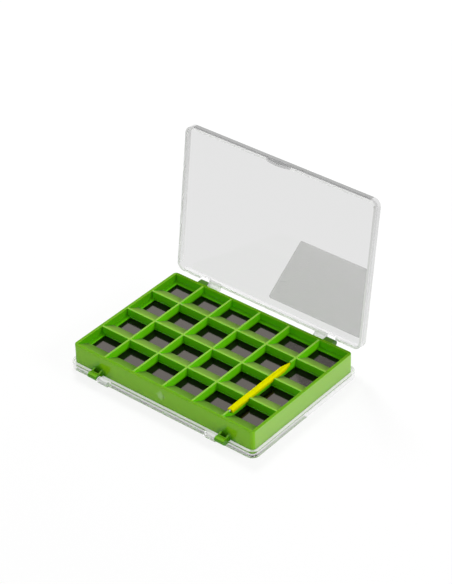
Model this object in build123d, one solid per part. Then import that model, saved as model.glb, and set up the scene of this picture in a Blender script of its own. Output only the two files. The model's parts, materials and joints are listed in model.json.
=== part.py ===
from build123d import *
import math
import os

# Double-sided magnetic hook box, in millimetres.
# X runs along the hinge edges, Y runs from the front wall to the back wall and +Z is up.
# The origin is the middle of the flat underside, on the outer face of the lower lid.

# Compartment grid of one half tray
column_count = 6
row_count = 4
column_pitch = 20.5
row_pitch = 20.9
divider_thickness = 1.2
wall_thickness = 1.8
half_height = 7.2
compartment_depth = 5.2
tray_corner_radius = 2.5
rim_round = 0.5
ledge_width = 2.5
ledge_height = 0.8
foot_lip = 0.5
ramp_run = 8.7
ramp_top_drop = 0.6
ramp_toe = 0.3
ramp_wall = 1.2

# Magnet sheets clamped between the halves
sheet_inset = 1.0
sheet_clearance = 0.15

# Catch nub on the wall that faces away from the hinge
nub_width = 3.7
nub_proud = 0.55
nub_drop = 2.8

# Lids
plate_thickness = 1.2
skirt_thickness = 1.55
skirt_gap = 0.5
lid_height = 4.5
rim_gap = 0.2
lid_edge_round = 0.25
tongue_width = 16.4
tongue_depth = 1.9

# Hinges
axis_offset = 4.0
axis_drop = 2.6
lug_inset = 15.2
lug_width = 6.1
lug_radius = 1.3
lug_cheek = 1.2
lug_skin = 0.6
barrel_radius = 1.8
barrel_out = 0.3
barrel_drop = 0.95
gusset_reach = 6.2
knuckle_radius = 1.9
knuckle_length = 7.2
knuckle_side_gap = 0.2
pin_radius = 0.7
pin_clearance = 0.05
pin_past_cheek = 0.6
pin_end_clearance = 0.3
slot_clearance = 0.3
open_angle = 98.0

# Label on the outside of the upper lid
label_thickness = 0.15
label_height = 42.8
label_hinge_width = 63.1
label_far_width = 44.45
label_end_inset = 4.0
label_hinge_inset = 4.75
label_corner_radius = 1.2

# Pick-up stick in its cradle on the last column divider
stick_width = 3.6
stick_height = 1.8
stick_length = 50.5
stick_point_length = 6.5
stick_point_width = 0.6
stick_edge = 0.3
stick_start = 6.4
stick_side_clearance = 0.2
stick_seat_gap = 0.02
stick_divider = column_count - 1
tip_radius = 0.65
tip_length = 4.0
tip_stand_out = 1.0
tip_clearance = 0.02

# Sizes that follow from the values above
inner_x = (column_count * column_pitch - divider_thickness) / 2
inner_y = (row_count * row_pitch - divider_thickness) / 2
outer_x = inner_x + wall_thickness
outer_y = inner_y + wall_thickness
sheet_level = half_height - compartment_depth
sheet_thickness = sheet_level
ledge_level = sheet_level + ledge_height
clear_x = column_pitch - divider_thickness
clear_y = row_pitch - divider_thickness
lid_x = outer_x + skirt_gap + skirt_thickness
lid_y = outer_y + skirt_gap + skirt_thickness
lid_corner_radius = tray_corner_radius + skirt_gap + skirt_thickness
tray_middle = plate_thickness + rim_gap + half_height
axis_y = outer_y + axis_offset
axis_level = half_height - axis_drop
lug_outer_x = outer_x - lug_inset
lug_inner_x = lug_outer_x - lug_width
knuckle_outer_x = lug_inner_x - knuckle_side_gap
knuckle_inner_x = knuckle_outer_x - knuckle_length
pin_bore_radius = pin_radius + pin_clearance
pin_end_x = lug_inner_x + lug_cheek + pin_past_cheek
lid_plate_level = half_height + rim_gap
lid_top_level = lid_plate_level + plate_thickness
skirt_edge_level = lid_top_level - lid_height
stick_x = (stick_divider - column_count / 2) * column_pitch
stick_front_y = stick_start - inner_y
stick_cradle_depth = stick_height + stick_seat_gap


def column_centre(column):
    return (column - (column_count - 1) / 2) * column_pitch


def row_centre(row):
    return (row - (row_count - 1) / 2) * row_pitch


def block(x_range, y_range, z_range):
    """A box between two places along each axis."""
    size = [high - low for low, high in (x_range, y_range, z_range)]
    middle = [(low + high) / 2 for low, high in (x_range, y_range, z_range)]
    return Pos(*middle) * Box(*size)


def rounded_block(half_x, half_y, radius, low, high):
    """A block with rounded upright corners, centred on the Z axis."""
    return Pos(0, 0, low) * extrude(RectangleRounded(2 * half_x, 2 * half_y, radius), high - low)


def bar_along_x(points, x_low, x_high):
    """A bar along X whose section is a polygon of (y, z) points."""
    section = Plane.YZ * make_face(Polyline(*points, close=True))
    return Pos(x_low, 0, 0) * extrude(section, x_high - x_low)


def rod_along_x(radius, y, z, x_low, x_high):
    """A round rod parallel to X."""
    section = Plane.YZ * Pos(y, z) * Circle(radius)
    return Pos(x_low, 0, 0) * extrude(section, x_high - x_low)


def arc_radius(chord, rise):
    """Radius of the arc that stands rise above a chord."""
    return (chord * chord / 4 + rise * rise) / (2 * rise)


def compartment_cuts():
    """The clear space of every compartment, down to the ledge and then through the window."""
    window_x = inner_x - ledge_width
    window_y = inner_y - ledge_width
    cuts = []
    for column in range(column_count):
        x_low = column_centre(column) - clear_x / 2
        x_high = x_low + clear_x
        for row in range(row_count):
            y_low = row_centre(row) - clear_y / 2
            y_high = y_low + clear_y
            cuts.append(block((x_low, x_high), (y_low, y_high), (ledge_level, half_height)))
            window_x_range = (max(x_low, -window_x), min(x_high, window_x))
            window_y_range = (max(y_low, -window_y), min(y_high, window_y))
            cuts.append(block(window_x_range, window_y_range, (sheet_level, ledge_level)))
    return cuts


def ramps():
    """One sloping ramp along each row of compartments, so that hooks slide up and out."""
    bars = []
    for row in range(row_count):
        wall_y = row_centre(row) - clear_y / 2
        section = [
            (wall_y, sheet_level),
            (wall_y + ramp_run, sheet_level),
            (wall_y + ramp_run, sheet_level + ramp_toe),
            (wall_y, half_height - ramp_top_drop),
        ]
        bars.append(bar_along_x(section, -inner_x, inner_x))
    return bars


def ramp_cores():
    """The hollow under each ramp, which keeps the moulding's walls even."""
    window_x = inner_x - ledge_width
    window_y = inner_y - ledge_width
    rise = half_height - ramp_top_drop - ramp_toe - sheet_level
    skin = ramp_wall * math.hypot(ramp_run, rise) / ramp_run
    core_top = half_height - ramp_top_drop - skin
    flat_top = half_height - stick_cradle_depth - ramp_wall
    cores = []
    for row in range(row_count):
        wall_y = row_centre(row) - clear_y / 2
        near_y = max(wall_y, -window_y)
        far_y = wall_y + (core_top - sheet_level) * ramp_run / rise
        section = [(wall_y, sheet_level), (far_y, sheet_level), (wall_y, core_top)]
        core = bar_along_x(section, -window_x, window_x)
        for column in range(column_count):
            x_low = column_centre(column) - clear_x / 2
            x_range = (x_low, x_low + clear_x)
            cores.append(core & block(x_range, (near_y, far_y), (sheet_level, flat_top)))
    return cores


def foot_lips():
    """A small lip along the foot of each row divider, on the side that faces the ramp."""
    bars = []
    for row in range(row_count - 1):
        divider_y = row_centre(row) + clear_y / 2
        y_range = (divider_y - foot_lip, divider_y)
        bars.append(block((-inner_x, inner_x), y_range, (sheet_level, sheet_level + foot_lip)))
    return bars


def hinge_lug():
    """The lug at the +X end of the back wall: a barrel on two cheeks, with an open pocket behind it."""
    top = axis_level + lug_radius
    wall_y = outer_y - wall_thickness / 2
    foot = half_height - gusset_reach
    barrel_y = axis_y + barrel_out
    barrel_level = axis_level - barrel_drop
    outline = [
        (wall_y, top),
        (axis_y, top),
        (barrel_y, barrel_level - barrel_radius / 2),
        (outer_y, foot),
        (wall_y, foot),
    ]
    lug = bar_along_x(outline, lug_inner_x, lug_outer_x)
    lug += rod_along_x(lug_radius, axis_y, axis_level, lug_inner_x, lug_outer_x)
    lug += rod_along_x(barrel_radius, barrel_y, barrel_level, lug_inner_x, lug_outer_x)
    pocket_x = (lug_inner_x + lug_cheek, lug_outer_x - lug_cheek)
    pocket_y = (outer_y, barrel_y - barrel_radius)
    lug -= block(pocket_x, pocket_y, (0, top - lug_skin))
    bore_end = pin_end_x + pin_end_clearance
    lug -= rod_along_x(pin_bore_radius, axis_y, axis_level, lug_inner_x, bore_end)
    return lug


def catch_nub():
    """The wedge in the middle of the front wall that the lid's tongue rides over."""
    top = half_height - nub_drop
    inside = wall_thickness / 2 - outer_y
    section = [(inside, 0), (-outer_y - nub_proud, 0), (-outer_y, top), (inside, top)]
    return bar_along_x(section, -nub_width / 2, nub_width / 2)


def half_tray():
    """One half of the tray: parting face at Z = 0, rim on top and hinge lugs at the back."""
    half = rounded_block(outer_x, outer_y, tray_corner_radius, 0, half_height)
    rim = half.faces().sort_by(Axis.Z)[-1]
    half = fillet(rim.outer_wire().edges(), rim_round)
    half -= compartment_cuts()
    half += ramps()
    half -= ramp_cores()
    half += foot_lips()
    pocket_x = inner_x - sheet_inset + sheet_clearance
    pocket_y = inner_y - sheet_inset + sheet_clearance
    half -= block((-pocket_x, pocket_x), (-pocket_y, pocket_y), (0, sheet_level))
    cradle_half = stick_width / 2 + stick_side_clearance
    cradle_x = (stick_x - cradle_half, stick_x + cradle_half)
    cradle_y = (
        stick_front_y - tip_stand_out - stick_side_clearance,
        stick_front_y + stick_length + stick_side_clearance,
    )
    half -= block(cradle_x, cradle_y, (half_height - stick_cradle_depth, half_height))
    lug = hinge_lug()
    half += [lug, mirror(lug, Plane.YZ), catch_nub()]
    return half


def magnet_sheet():
    """A flexible magnet sheet that fills the pocket of one half, from the parting face to the dividers."""
    half_x = inner_x - sheet_inset
    half_y = inner_y - sheet_inset
    return block((-half_x, half_x), (-half_y, half_y), (0, sheet_thickness))


def hinge_knuckle():
    """The lid's round knuckle at the +X end, with its web to the skirt and the pin that enters the lug."""
    knuckle = rod_along_x(knuckle_radius, axis_y, axis_level, knuckle_inner_x, knuckle_outer_x)
    web_y = (lid_y - skirt_thickness / 2, axis_y)
    web_z = (skirt_edge_level, axis_level + knuckle_radius)
    knuckle += block((knuckle_inner_x, knuckle_outer_x), web_y, web_z)
    pin_root = knuckle_outer_x - knuckle_radius
    knuckle += rod_along_x(pin_radius, axis_y, axis_level, pin_root, pin_end_x)
    return knuckle


def tongue():
    """The crescent below the middle of the skirt's free side, which snaps over the catch nub."""
    radius = arc_radius(tongue_width, tongue_depth)
    low = skirt_edge_level - tongue_depth
    disc = Plane.XZ * Pos(0, low + radius) * Circle(radius)
    keep_x = (-lid_x + skirt_thickness, lid_x - skirt_thickness)
    keep_y = (-lid_y, skirt_thickness - lid_y)
    keep = block(keep_x, keep_y, (low, lid_plate_level))
    return keep & extrude(disc, lid_y, both=True)


def closed_lid():
    """A lid closed on its half tray: a plate and skirt, with slots for the lugs, and knuckles."""
    lid = rounded_block(lid_x, lid_y, lid_corner_radius, skirt_edge_level, lid_top_level)
    outside = lid.faces().sort_by(Axis.Z)[-1]
    lid = fillet(outside.outer_wire().edges(), lid_edge_round)
    lid -= rounded_block(
        outer_x + skirt_gap,
        outer_y + skirt_gap,
        tray_corner_radius + skirt_gap,
        skirt_edge_level,
        lid_plate_level,
    )
    slot_y = (outer_y, lid_y + skirt_thickness)
    slot_z = (skirt_edge_level, axis_level + lug_radius + slot_clearance)
    slot_x = (lug_inner_x - slot_clearance, lug_outer_x + slot_clearance)
    lid -= block(slot_x, slot_y, slot_z)
    lid -= block((-slot_x[1], -slot_x[0]), slot_y, slot_z)
    lid += tongue()
    knuckle = hinge_knuckle()
    lid += [knuckle, mirror(knuckle, Plane.YZ)]
    return lid


def closed_label():
    """A thin label on the outside of the closed lid, with one slanting end."""
    right = lid_x - label_end_inset
    near = lid_y - label_hinge_inset
    far = near - label_height
    outline = Polyline(
        (right, near),
        (right, far),
        (right - label_far_width, far),
        (right - label_hinge_width, near),
        close=True,
    )
    face = make_face(outline)
    face = fillet(face.vertices(), label_corner_radius)
    return Pos(0, 0, lid_top_level) * extrude(face, label_thickness)


def pick_up_stick():
    """The flat stick with its pointed end, lying along Y with its underside at Z = 0."""
    half = stick_width / 2
    shoulder = stick_length - stick_point_length
    outline = Polyline(
        (-half, 0),
        (half, 0),
        (half, shoulder),
        (stick_point_width / 2, stick_length),
        (-stick_point_width / 2, stick_length),
        (-half, shoulder),
        close=True,
    )
    stick = extrude(make_face(outline), stick_height)
    top = stick.faces().sort_by(Axis.Z)[-1]
    stick = chamfer(top.outer_wire().edges(), stick_edge)
    hole_depth = tip_length - tip_stand_out
    hole = Pos(0, 0, stick_height / 2) * Rot(-90, 0, 0) * Cylinder(
        tip_radius + tip_clearance, hole_depth, align=(Align.CENTER, Align.CENTER, Align.MIN)
    )
    return stick - hole


def stick_magnet():
    """The small round magnet set in the blunt end of the stick."""
    rod = Cylinder(tip_radius, tip_length, align=(Align.CENTER, Align.CENTER, Align.MIN))
    return Pos(0, -tip_stand_out, stick_height / 2) * Rot(-90, 0, 0) * rod


# Placing the pieces in the box's own frame
upper_place = Pos(0, 0, tray_middle)
lower_place = Pos(0, 0, tray_middle) * Rot(180, 0, 0)
back_hinge = Axis((0, axis_y, tray_middle + axis_level), (-1, 0, 0))
stick_place = Pos(stick_x, stick_front_y, tray_middle + half_height - stick_height)

pieces = {
    "tray_upper_half": upper_place * half_tray(),
    "tray_lower_half": lower_place * half_tray(),
    "magnet_sheet_upper": upper_place * magnet_sheet(),
    "magnet_sheet_lower": lower_place * magnet_sheet(),
    "upper_lid": (upper_place * closed_lid()).rotate(back_hinge, open_angle),
    "lower_lid": lower_place * closed_lid(),
    "lid_label": (upper_place * closed_label()).rotate(back_hinge, open_angle),
    "pick_up_stick": stick_place * pick_up_stick(),
    "stick_magnet": stick_place * stick_magnet(),
}

os.makedirs("parts", exist_ok=True)
for name, piece in pieces.items():
    export_step(piece, f"parts/{name}.step")
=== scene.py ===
import json
import math

import bpy
from mathutils import Matrix, Vector

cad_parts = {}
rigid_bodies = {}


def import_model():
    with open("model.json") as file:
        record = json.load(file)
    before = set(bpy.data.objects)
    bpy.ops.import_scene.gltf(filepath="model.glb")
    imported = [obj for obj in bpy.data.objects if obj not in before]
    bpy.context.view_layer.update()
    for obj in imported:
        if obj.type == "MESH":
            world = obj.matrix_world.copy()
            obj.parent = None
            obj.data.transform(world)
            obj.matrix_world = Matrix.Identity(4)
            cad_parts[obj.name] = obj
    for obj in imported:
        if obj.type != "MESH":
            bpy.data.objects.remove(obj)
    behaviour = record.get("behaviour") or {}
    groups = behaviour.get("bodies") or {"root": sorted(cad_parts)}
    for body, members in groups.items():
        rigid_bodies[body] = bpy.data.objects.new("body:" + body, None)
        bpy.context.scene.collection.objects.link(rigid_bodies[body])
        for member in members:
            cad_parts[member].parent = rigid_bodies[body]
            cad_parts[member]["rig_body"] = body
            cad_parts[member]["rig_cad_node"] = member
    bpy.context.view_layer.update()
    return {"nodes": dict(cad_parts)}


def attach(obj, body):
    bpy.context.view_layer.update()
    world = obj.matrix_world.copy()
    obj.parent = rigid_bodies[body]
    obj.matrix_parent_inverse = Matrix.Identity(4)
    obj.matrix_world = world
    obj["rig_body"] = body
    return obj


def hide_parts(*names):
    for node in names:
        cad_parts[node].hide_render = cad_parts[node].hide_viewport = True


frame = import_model()

# The tray halves
# Two identical green mouldings with ramped compartments, joined back to back at mid height.
# Their edges are rounded as a polished mould leaves them, and the glossy plastic has a faint grain.
MM = 0.001
TRAY_ROUNDING = 0.18 * MM

# Places on a half: x along the box, y across it, heights from the seam
SEAM = 8.6 * MM
HALF_HEIGHT = 7.2 * MM
TOP_HEIGHT = 7.1 * MM
TOP_EDGE_HEIGHT = 7.0 * MM
END_WALL_X = 62.6 * MM
WALL_Y = 42.9 * MM
CLEAR_X = 61.0 * MM
CLEAR_Y = 41.3 * MM
LEDGE_X = 60.3 * MM
FOOT_SHADE_DEPTH = 4.2 * MM
FADE_DEPTH = 0.6 * MM
NUB_HEIGHT = 1.6 * MM
NUB_SIZE = 2.6 * MM
LUG_X = 44.45 * MM
LUG_Y = 43.7 * MM
LUG_HEIGHT = 4.1 * MM
LUG_SHADE_SIZE = 5.0 * MM
FIRST_ROW_Y = -21.0 * MM
RAMP_FOOT = 2.3 * MM
RAMP_RISE = 4.3 * MM
RAMP_AREA = 10 * MM * MM

# The finishes of a half, in the order of its material slots
WALLS, RAMPS, TOPS, LIT_LUG_TOPS = range(4)

# Greens of the outer walls and what stands on them, of the rims, and of the compartments, many of
# them painted light or shade
OUTSIDE_GREENS = ((0.203, 0.505, 0.004, 1.0), (0.223, 0.540, 0.006, 1.0))
# Painted sheen: the end walls are paler and whiter than the long walls.
END_WALL_SHEEN_GREEN = (0.285, 0.530, 0.085, 1.0)
# Painted highlight: a pale patch on the catch nub of each long wall.
NUB_HIGHLIGHT_GREEN = (0.360, 0.620, 0.180, 1.0)
# Painted shade: a deeper green on the long walls beside each lug.
BESIDE_LUG_SHADE_GREEN = (0.055, 0.310, 0.006, 1.0)
# Painted light and shade on the lugs: a deeper green where they are in shade, a light green
# on the upward faces of the front lugs, and a darker green on the back lugs.
LUG_SHADED_GREEN = (0.095, 0.340, 0.0005, 1.0)
LUG_TOP_LIT_GREEN = (0.230, 0.600, 0.010, 1.0)
BACK_LUG_SHADE_GREEN = (0.055, 0.185, 0.0005, 1.0)
# Painted shade: the rim tops are darker than the outer walls, and the back rim darker still,
# where the standing lid shades it.
RIM_SHADE_GREEN = (0.140, 0.355, 0.012, 1.0)
BACK_RIM_SHADE_GREEN = (0.100, 0.290, 0.002, 1.0)
# Painted sheen: the divider tops are paler and whiter.
DIVIDER_TOP_SHEEN_GREEN = (0.245, 0.500, 0.060, 1.0)
INSIDE_GREENS = ((0.145, 0.640, 0.002, 1.0), (0.165, 0.690, 0.003, 1.0))
# Painted shade: a darker green low in the compartments and along the inside of the end walls.
FOOT_SHADE_GREEN = (0.105, 0.470, 0.002, 1.0)
# Painted shade darkens the ramps towards their foot, and painted light makes the ramps
# of the inner rows paler and whiter.
RAMP_FOOT_SHADE_GREENS = ((0.075, 0.160, 0.016, 1.0), (0.110, 0.205, 0.037, 1.0))
RAMP_TOP_GREENS = ((0.105, 0.275, 0.008, 1.0), (0.150, 0.325, 0.025, 1.0))
INNER_RAMP_LIGHT_TINT = (1.45, 1.17, 1.9)


class Value:
    """A number or colour that varies over a surface, so that a finish is written as sums."""

    def __init__(self, finish, socket):
        self.finish = finish
        self.socket = socket

    def math(self, operation, *others):
        return self.finish.add("ShaderNodeMath", {"operation": operation}, [self, *others])

    def __add__(self, other):
        return self.math("ADD", other)

    def __sub__(self, other):
        return self.math("SUBTRACT", other)

    def __rsub__(self, other):
        return self.finish.add("ShaderNodeMath", {"operation": "SUBTRACT"}, [other, self])

    def __mul__(self, other):
        return self.math("MULTIPLY", other)

    def __truediv__(self, number):
        return self * (1.0 / number)

    def __abs__(self):
        return self.math("ABSOLUTE")

    def __gt__(self, other):
        return self.math("GREATER_THAN", other)

    def __lt__(self, other):
        return self.math("LESS_THAN", other)

    def __or__(self, other):
        return self.math("MAXIMUM", other)

    def clamped(self):
        return self.math("MINIMUM", 1.0).math("MAXIMUM", 0.0)

    __radd__ = __add__
    __rmul__ = __mul__


class Finish:
    """The look of one kind of piece, or of the room round it, built from nodes."""

    def __init__(self, holder):
        self.holder = holder
        holder.use_nodes = True
        self.tree = holder.node_tree
        self.tree.nodes.clear()

    def add(self, kind, settings=None, values=(), output=0):
        """Adds a node: its settings first, then a value or a link for each socket."""
        node = self.tree.nodes.new(kind)
        for name, setting in (settings or {}).items():
            setattr(node, name, setting)
        pairs = values.items() if isinstance(values, dict) else enumerate(values)
        for key, value in pairs:
            if isinstance(value, Value):
                self.tree.links.new(value.socket, node.inputs[key])
            else:
                node.inputs[key].default_value = value
        return Value(self, node.outputs[output]) if node.outputs else node

    def place(self, scale=(1.0, 1.0, 1.0)):
        """The piece's own coordinates, in metres times scale."""
        coordinates = self.add("ShaderNodeTexCoord", output="Object")
        return self.add("ShaderNodeMapping", values={"Vector": coordinates, "Scale": scale})

    def axes(self, place):
        """The three numbers of a place."""
        return [self.add("ShaderNodeSeparateXYZ", values=[place], output=axis) for axis in "XYZ"]

    def noise(self, place, size, detail=2.0, roughness=0.5):
        """Soft noise from 0 to 1, with lumps of the given size in metres."""
        values = {"Vector": place, "Scale": 1.0 / size, "Detail": detail, "Roughness": roughness}
        return self.add("ShaderNodeTexNoise", values=values)

    def blend(self, share, first, second):
        """A colour between two, by share."""
        values = {0: share, 6: first, 7: second}
        return self.add("ShaderNodeMix", {"data_type": "RGBA"}, values, output=2)

    def bump(self, height, distance):
        """The normal of a surface whose relief is height times distance."""
        values = {"Height": height, "Distance": distance, "Strength": 1.0}
        return self.add("ShaderNodeBump", values=values)

    def ray(self, kind):
        """1 on a kind of ray and 0 on all others."""
        return self.add("ShaderNodeLightPath", output="Is " + kind + " Ray")

    def surface(self, **shaders):
        """Links the finished shaders to the output of the material or room."""
        room = isinstance(self.holder, bpy.types.World)
        self.add("ShaderNodeOutputWorld" if room else "ShaderNodeOutputMaterial", values=shaders)
        return self.holder


def green_plastic(name, gloss, lug_shading_green=LUG_SHADED_GREEN):
    """Glossy green plastic, paler outside and deeper in the compartments, with painted sheen,
    highlights and shade.
    """
    finish = Finish(bpy.data.materials.new(name))
    place = finish.place()
    cloud = finish.noise(place, 14 * MM, 3.0)
    grain = finish.noise(place, 0.35 * MM, 2.0)
    flow = finish.noise(finish.place((1.0, 1.0, 9.0)), 5 * MM, 4.0)

    along, across, up = finish.axes(place)
    height = up - SEAM
    depth = HALF_HEIGHT - abs(height)
    side = across.math("SIGN")
    wall = abs(across) > WALL_Y
    rim = abs(height) > TOP_HEIGHT
    within = (abs(along) < CLEAR_X) * (abs(across) < CLEAR_Y)
    # A painted highlight over each catch nub
    from_nub = abs(along) + abs(height + side * NUB_HEIGHT)
    nub_highlight = (1.5 - from_nub / NUB_SIZE).clamped()
    # Painted shade beside each lug
    from_lug = abs(abs(along) - LUG_X) + abs(height - side * LUG_HEIGHT)
    beside_lug_shade = (1.8 - from_lug / LUG_SHADE_SIZE).clamped()

    skin = finish.blend(cloud, *OUTSIDE_GREENS)
    # Over the outside greens go painted sheen, highlights and shade.
    for share, green in (
        (abs(along) > END_WALL_X, END_WALL_SHEEN_GREEN),
        (rim * (1.0 - within), RIM_SHADE_GREEN),
        (rim * (across > CLEAR_Y), BACK_RIM_SHADE_GREEN),
        (nub_highlight * wall, NUB_HIGHLIGHT_GREEN),
        (beside_lug_shade * wall * 0.8, BESIDE_LUG_SHADE_GREEN),
        (abs(across) > LUG_Y, lug_shading_green),
        (across > LUG_Y, BACK_LUG_SHADE_GREEN),
        (rim * within, DIVIDER_TOP_SHEEN_GREEN),
    ):
        skin = finish.blend(share, skin, green)
    # Painted shade low in the compartments and at their ends
    shaded_foot = (depth > FOOT_SHADE_DEPTH) | (abs(along) > LEDGE_X)
    inside = finish.blend(shaded_foot, finish.blend(cloud, *INSIDE_GREENS), FOOT_SHADE_GREEN)
    sunk = (depth / FADE_DEPTH).clamped()

    shader = finish.add("ShaderNodeBsdfPrincipled", {"subsurface_method": "RANDOM_WALK"}, {
        "Base Color": finish.blend(within * sunk, skin, inside),
        "Roughness": 0.07 + 0.04 * grain + 0.03 * flow,
        "IOR": 1.49,
        "Specular IOR Level": gloss,
        "Subsurface Weight": 0.45,
        "Subsurface Radius": (0.5, 1.0, 0.1),
        "Subsurface Scale": 1.2 * MM,
        "Normal": finish.bump(grain * 0.6 + flow * 0.4, 0.004 * MM),
    })
    return finish.surface(Surface=shader)


def ramp_plastic():
    """The same plastic on the ramps, which are less polished, with faint lines down the slope."""
    finish = Finish(bpy.data.materials.new("ramp_plastic"))
    place = finish.place()
    lines = finish.noise(finish.place((1.0, 0.04, 0.04)), 0.8 * MM, 3.0)
    grain = finish.noise(place, 0.3 * MM, 2.0)

    across, up = finish.axes(place)[1:]
    height = up - SEAM
    inner_rows = across * height.math("SIGN") > FIRST_ROW_Y
    # Painted shade: darker towards the foot of the ramp
    climb = (abs(height) - RAMP_FOOT) / RAMP_RISE
    ramp_foot_shade = finish.blend(lines, *RAMP_FOOT_SHADE_GREENS)
    top = finish.blend(lines, *RAMP_TOP_GREENS)
    green = finish.blend(climb, ramp_foot_shade, top)
    # Painted light: the ramps of the inner rows paler and whiter
    lit_inner_green = finish.add("ShaderNodeVectorMath", {"operation": "MULTIPLY"}, [green, INNER_RAMP_LIGHT_TINT])

    shader = finish.add("ShaderNodeBsdfPrincipled", values={
        "Base Color": finish.blend(inner_rows, green, lit_inner_green),
        "Roughness": 0.28 + 0.10 * lines,
        "IOR": 1.49,
        "Specular IOR Level": 0.15,
        "Normal": finish.bump(lines * 0.7 + grain * 0.3, 0.01 * MM),
    })
    return finish.surface(Surface=shader)


def tray_slot(face):
    """Which of the tray's finishes a face has, from its place, its slope and its size."""
    level = abs(face.normal.z)
    height = abs(face.center.z - SEAM)
    if 0.8 < level < 0.95 and abs(face.normal.y) > 0.3 and face.area > RAMP_AREA:
        return RAMPS
    if level > 0.99 and height > TOP_HEIGHT:
        return TOPS
    if face.center.y > CLEAR_Y and height > TOP_EDGE_HEIGHT:
        return TOPS
    # The upward faces of the front lugs get the painted light.
    if level > 0.6 and face.center.y < -LUG_Y:
        return LIT_LUG_TOPS
    return WALLS


def paint(piece, finishes, slot_of=lambda face: 0):
    """Gives a piece its finishes, and each face the one that slot_of names."""
    piece.data.materials.clear()
    for finish in finishes:
        piece.data.materials.append(finish)
    for face in piece.data.polygons:
        face.material_index = slot_of(face)


def soften(node, width):
    """A copy of a moulded piece with its facets merged and its sharp edges rounded."""
    bpy.ops.object.select_all(action="DESELECT")
    source = frame["nodes"][node]
    bpy.context.view_layer.objects.active = source
    source.select_set(True)
    bpy.ops.object.duplicate()
    piece = bpy.context.active_object
    piece.name = node + "_moulding"
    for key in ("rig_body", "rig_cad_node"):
        if key in piece:
            del piece[key]
    piece.parent = None

    bpy.ops.object.mode_set(mode="EDIT")
    bpy.ops.mesh.select_all(action="SELECT")
    bpy.ops.mesh.remove_doubles(threshold=0.001 * MM)
    bpy.ops.mesh.dissolve_limited(angle_limit=math.radians(1.0))
    bpy.ops.object.mode_set(mode="OBJECT")
    bpy.ops.object.mode_set(mode="EDIT")
    bpy.ops.mesh.select_mode(type="EDGE")
    bpy.ops.mesh.select_all(action="DESELECT")
    bpy.ops.mesh.edges_select_sharp(sharpness=math.radians(40))
    bpy.ops.object.mode_set(mode="OBJECT")
    # The halves meet flush, so their edges at the seam stay sharp
    for edge in piece.data.edges:
        if all(abs(piece.data.vertices[end].co.z - SEAM) < 0.01 * MM for end in edge.vertices):
            edge.select = False
    bpy.ops.object.mode_set(mode="EDIT")
    bpy.ops.transform.edge_bevelweight(value=1.0)
    bpy.ops.object.mode_set(mode="OBJECT")

    rounding = piece.modifiers.new("rounding", "BEVEL")
    rounding.width = width
    rounding.segments = 2
    rounding.limit_method = "WEIGHT"
    rounding.use_clamp_overlap = False
    bpy.ops.object.modifier_apply(modifier="rounding")
    bpy.ops.object.shade_smooth_by_angle(angle=math.radians(35))
    flat = piece.modifiers.new("flat", "WEIGHTED_NORMAL")
    flat.keep_sharp = True
    bpy.ops.object.modifier_apply(modifier="flat")
    return piece


tray_finishes = (
    green_plastic("green_plastic", 0.2),
    ramp_plastic(),
    green_plastic("green_edge_plastic", 0.0),
    # The same plastic with painted light on the upward faces of the front lugs
    green_plastic("green_lit_lug_top_plastic", 0.2, LUG_TOP_LIT_GREEN),
)
for node in ("tray_upper_half", "tray_lower_half"):
    half = soften(node, TRAY_ROUNDING)
    paint(half, tray_finishes, tray_slot)
    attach(half, "tray")
    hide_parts(node)

# The magnet sheets
# Flexible ferrite sheets clamped between the halves, one for each side of the tray.
# Their smooth dark skin mirrors the walls of the compartments.
SHEETS = ("magnet_sheet_upper", "magnet_sheet_lower")
FERRITE = ((0.0010, 0.0008, 0.0006, 1.0), (0.0022, 0.0016, 0.0012, 1.0))


def ferrite_sheet():
    """Dark rolled rubber with a warm sheen, faintly uneven across the rolling direction."""
    finish = Finish(bpy.data.materials.new("ferrite_sheet"))
    cloud = finish.noise(finish.place(), 6 * MM, 3.0)
    roll = finish.noise(finish.place((1.0, 12.0, 1.0)), 3 * MM, 2.0)
    shader = finish.add("ShaderNodeBsdfPrincipled", values={
        "Base Color": finish.blend(cloud, *FERRITE),
        "Roughness": 0.07 + 0.05 * roll,
        "IOR": 1.6,
        "Specular IOR Level": 0.20,
        "Specular Tint": (1.0, 0.85, 0.70, 1.0),
        "Normal": finish.bump(roll, 0.004 * MM),
    })
    return finish.surface(Surface=shader)


sheet_finish = ferrite_sheet()
for node in SHEETS:
    paint(frame["nodes"][node], [sheet_finish])

# The lids
# Two identical clear mouldings with a skirt, pins and a tongue, a little hazy from handling.
# Nothing mirrors the lids, because the standing one would break up the sheen of the magnet sheets.
LID_ROUNDING = 0.15 * MM
OPEN_ANGLE = math.radians(98.0)
HINGE = Vector((0.0, 47.0 * MM, 13.2 * MM))
KNUCKLE_Y = 45.2 * MM
TONGUE_X = 8.3 * MM
TONGUE_Y = 43.0 * MM
TONGUE_Z = 4.2 * MM
SKIRT_X = 64.5 * MM
SKIRT_Y = 44.8 * MM
SKIRT_Z = 4.3 * MM
SKIRT_RIM_Z = 4.55 * MM

# The finishes of a lid, in the order of its material slots
PLATE, SKIRT, SKIRT_RIM, KNUCKLES, TONGUE = range(5)


def clear_plastic(name, white, clearness, roughness):
    """Clear plastic, frosted where clearness is below 1, that lets most of the light through."""
    finish = Finish(bpy.data.materials.new(name))
    place = finish.place()
    haze = finish.noise(place, 9 * MM, 4.0, 0.6)
    ripple = finish.noise(place, 4 * MM, 2.0)
    glass = finish.add("ShaderNodeBsdfPrincipled", values={
        "Base Color": (white, white, white, 1.0),
        "Roughness": roughness + 0.02 * haze,
        "IOR": 1.2,
        "Transmission Weight": clearness,
        "Normal": finish.bump(ripple, 0.006 * MM),
    })
    clear = finish.add("ShaderNodeBsdfTransparent", values={"Color": (0.90, 0.90, 0.90, 1.0)})
    shader = finish.add("ShaderNodeMixShader", values=[finish.ray("Shadow"), glass, clear])
    values = {"Color": (0.0, 0.0, 0.0, 1.0), "Density": 2.0}
    body = finish.add("ShaderNodeVolumeAbsorption", values=values)
    return finish.surface(Surface=shader, Volume=body)


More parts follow.
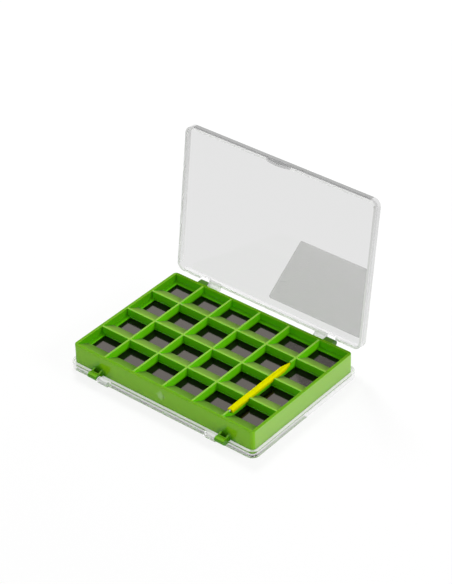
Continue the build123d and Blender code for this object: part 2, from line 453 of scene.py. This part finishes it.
def lid_slot(place):
    """Which of the lid's finishes the closed lower lid has at a place."""
    if place.y < -KNUCKLE_Y:
        return KNUCKLES
    if abs(place.x) < TONGUE_X and place.y > TONGUE_Y and place.z > TONGUE_Z:
        return TONGUE
    if SKIRT_Z < place.z < SKIRT_RIM_Z:
        return SKIRT_RIM
    if abs(place.x) > SKIRT_X or abs(place.y) > SKIRT_Y or place.z > SKIRT_Z:
        return SKIRT
    return PLATE


def lower_lid_slot(face):
    """The finish of a face of the lower lid."""
    return lid_slot(face.center)


def upper_lid_slot(face):
    """The finish of a face of the upper lid, swung shut and turned over onto the lower one."""
    x, y, z = Matrix.Rotation(OPEN_ANGLE, 4, "X") @ (face.center - HINGE) + HINGE
    return lid_slot(Vector((x, -y, 2 * SEAM - z)))


lid_finishes = (
    clear_plastic("clear_plastic", 0.785, 1.0, 0.005),
    clear_plastic("skirt_plastic", 0.91, 0.72, 0.15),
    clear_plastic("rim_plastic", 0.99, 0.50, 0.25),
    clear_plastic("knuckle_plastic", 0.99, 0.60, 0.07),
    # The tongue's plastic is greyer, as painted shade on its sloped faces.
    clear_plastic("tongue_shade_plastic", 0.40, 0.90, 0.04),
)
for node, slot_of in (("upper_lid", upper_lid_slot), ("lower_lid", lower_lid_slot)):
    lid = soften(node, LID_ROUNDING)
    paint(lid, lid_finishes, slot_of)
    lid.visible_glossy = False
    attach(lid, node)
    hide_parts(node)

# The label
# A grey film stuck on the outside of the upper lid. It lets some light through.
# It is drawn in by a hair on all sides, so that it and the lid don't share a face.
LABEL_ROUNDING = 0.03 * MM
LABEL_GAP = 0.01 * MM
FILM_GREYS = ((0.56, 0.55, 0.545, 1.0), (0.61, 0.60, 0.595, 1.0))


def grey_film():
    """Matt film, unevenly grey."""
    finish = Finish(bpy.data.materials.new("grey_film"))
    cloud = finish.noise(finish.place(), 8 * MM, 2.0)
    shader = finish.add("ShaderNodeBsdfPrincipled", values={
        "Base Color": finish.blend(cloud, *FILM_GREYS),
        "Roughness": 0.45 + 0.10 * cloud,
        "Alpha": 0.29,
    })
    return finish.surface(Surface=shader)


label = soften("lid_label", LABEL_ROUNDING)
bpy.ops.object.mode_set(mode="EDIT")
bpy.ops.mesh.select_all(action="SELECT")
bpy.ops.transform.shrink_fatten(value=-LABEL_GAP)
bpy.ops.object.mode_set(mode="OBJECT")
paint(label, [grey_film()])
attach(label, "upper_lid")
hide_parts("lid_label")

# The pick-up stick
# A flat yellow moulding with a pointed end, loose in the cradle of the last column divider.
# The plastic is matt, and light goes some way into it.
STICK_ROUNDING = 0.15 * MM
STICK_YELLOWS = ((0.63, 0.62, 0.0, 1.0), (0.68, 0.67, 0.0, 1.0))


def yellow_plastic():
    """Matt yellow plastic with a fine grain."""
    finish = Finish(bpy.data.materials.new("yellow_plastic"))
    place = finish.place()
    grain = finish.noise(place, 0.5 * MM, 2.0)
    cloud = finish.noise(place, 5 * MM, 2.0)
    shader = finish.add("ShaderNodeBsdfPrincipled", {"subsurface_method": "RANDOM_WALK"}, {
        "Base Color": finish.blend(cloud, *STICK_YELLOWS),
        "Roughness": 0.32 + 0.10 * grain,
        "Specular IOR Level": 0.0,
        "Subsurface Weight": 0.7,
        "Subsurface Radius": (1.0, 0.9, 0.05),
        "Subsurface Scale": 1.5 * MM,
        "Normal": finish.bump(grain, 0.012 * MM),
    })
    return finish.surface(Surface=shader)


stick = soften("pick_up_stick", STICK_ROUNDING)
paint(stick, [yellow_plastic()])
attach(stick, "pick_up_stick")
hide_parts("pick_up_stick")

# The stick's magnet
# A small plated rod pressed into the blunt end of the stick.
# Fine turning marks make the plating uneven.
PLATING = ((0.50, 0.46, 0.45, 1.0), (0.62, 0.58, 0.57, 1.0))


def plated_metal():
    """Bright plating with turning marks."""
    finish = Finish(bpy.data.materials.new("plated_metal"))
    marks = finish.noise(finish.place(), 0.2 * MM, 2.0)
    shader = finish.add("ShaderNodeBsdfPrincipled", values={
        "Base Color": finish.blend(marks, *PLATING),
        "Metallic": 1.0,
        "Roughness": 0.28 + 0.12 * marks,
        "Normal": finish.bump(marks, 0.006 * MM),
    })
    return finish.surface(Surface=shader)


paint(frame["nodes"]["stick_magnet"], [plated_metal()])

# The floor
# A plain white table. Seen directly or mirrored it is partly a plain white of strength 1,
# so that it stays white, and the rest of it is lit and keeps the box's soft shadow.
FLOOR_SIZE = 8.0
PLAIN_SHARE = 0.85


def white_floor():
    """White that is lit by the lamps in part only."""
    finish = Finish(bpy.data.materials.new("white_floor"))
    lit = finish.add("ShaderNodeBsdfDiffuse", values={"Color": (0.93, 0.93, 0.93, 1.0)})
    white = {"Color": (1.0, 1.0, 1.0, 1.0), "Strength": 1.0}
    plain = finish.add("ShaderNodeEmission", values=white)
    seen = finish.ray("Camera") + finish.ray("Glossy") + finish.ray("Transmission")
    shader = finish.add("ShaderNodeMixShader", values=[PLAIN_SHARE * seen, lit, plain])
    return finish.surface(Surface=shader)


bpy.ops.mesh.primitive_plane_add(size=FLOOR_SIZE, location=(0.0, 0.0, 0.0))
floor = bpy.context.active_object
floor.name = "floor"
paint(floor, [white_floor()])

# Light and camera
# A white room, a strong lamp from the back left and a soft one from the right, neither of which
# shows in the gloss, and one that only gives the magnet sheets their sheen.
# The camera has the photograph's view.
ROOM_LIGHT = 0.48
LAMP_AIM = (0.0, 0.0, 0.02)
CAMERA_PLACE = (0.59115, -0.68215, 0.69980)
CAMERA_TURN = (40.38, 35.63, -1.742)


def white_room():
    """White where it is seen or mirrored, and weaker as a light."""
    finish = Finish(bpy.data.worlds.new("white_room"))
    seen = finish.ray("Camera") + finish.ray("Glossy") + finish.ray("Transmission")
    strength = ROOM_LIGHT + (1.0 - ROOM_LIGHT) * seen
    values = {"Color": (1.0, 1.0, 1.0, 1.0), "Strength": strength}
    return finish.surface(Surface=finish.add("ShaderNodeBackground", values=values))


def lamp(name, place, size, power):
    """A round lamp that points at the box."""
    data = bpy.data.lights.new(name, "AREA")
    data.shape = "DISK"
    data.size = size
    data.energy = power
    holder = bpy.data.objects.new(name, data)
    bpy.context.scene.collection.objects.link(holder)
    holder.location = place
    holder.rotation_euler = (Vector(LAMP_AIM) - Vector(place)).to_track_quat("-Z", "Y").to_euler()
    return holder


bpy.context.scene.world = white_room()
for holder in (
    lamp("back_lamp", (-0.55, 0.60, 1.10), size=0.30, power=10.5),
    lamp("right_lamp", (1.15, 0.35, 0.70), size=0.5, power=7.2),
):
    holder.visible_transmission = False
    holder.visible_glossy = False
sheen = lamp("sheen_lamp", (-0.72, 0.83, 0.86), size=0.6, power=2.35)
sheen.light_linking.receiver_collection = bpy.data.collections.new("sheets")
for node in SHEETS:
    sheen.light_linking.receiver_collection.objects.link(frame["nodes"][node])

camera_data = bpy.data.cameras.new("camera")
camera_data.sensor_width = 36.0
camera_data.lens = 129.1
camera = bpy.data.objects.new("camera", camera_data)
bpy.context.scene.collection.objects.link(camera)
azimuth, elevation, roll = (math.radians(angle) for angle in CAMERA_TURN)
aim = Matrix.Rotation(azimuth, 4, "Z") @ Matrix.Rotation(math.pi / 2 - elevation, 4, "X")
camera.matrix_world = Matrix.Translation(CAMERA_PLACE) @ aim @ Matrix.Rotation(roll, 4, "Z")
bpy.context.scene.camera = camera
bpy.context.scene.view_settings.view_transform = "Standard"
